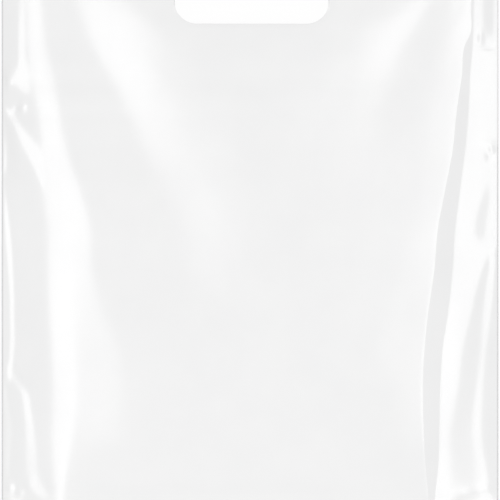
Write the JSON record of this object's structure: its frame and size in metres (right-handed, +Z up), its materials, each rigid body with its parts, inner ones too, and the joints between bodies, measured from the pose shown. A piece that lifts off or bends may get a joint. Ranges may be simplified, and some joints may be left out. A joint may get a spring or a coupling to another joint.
{
  "type": "plastic carrier bag",
  "caption": "White film carrier bag with a punched hand hole, folded at the bottom and welded at both sides, lying on its back panel with its mouth open.",
  "frame": {"origin": "middle of the bag's footprint, on the surface that its back panel lies on", "axes": "+Z up from the surface, through the back panel and then the front panel; +Y from the bottom fold to the mouth; +X to the right, seen from above with the mouth at the top"},
  "size_m": [0.296, 0.396, 0.0193],
  "materials": {
    "white_film": "glossy white polyethylene film, soft to the light"
  },
  "bodies": {
    "root": {"carrier_bag": "white_film"}
  },
  "joints": []
}
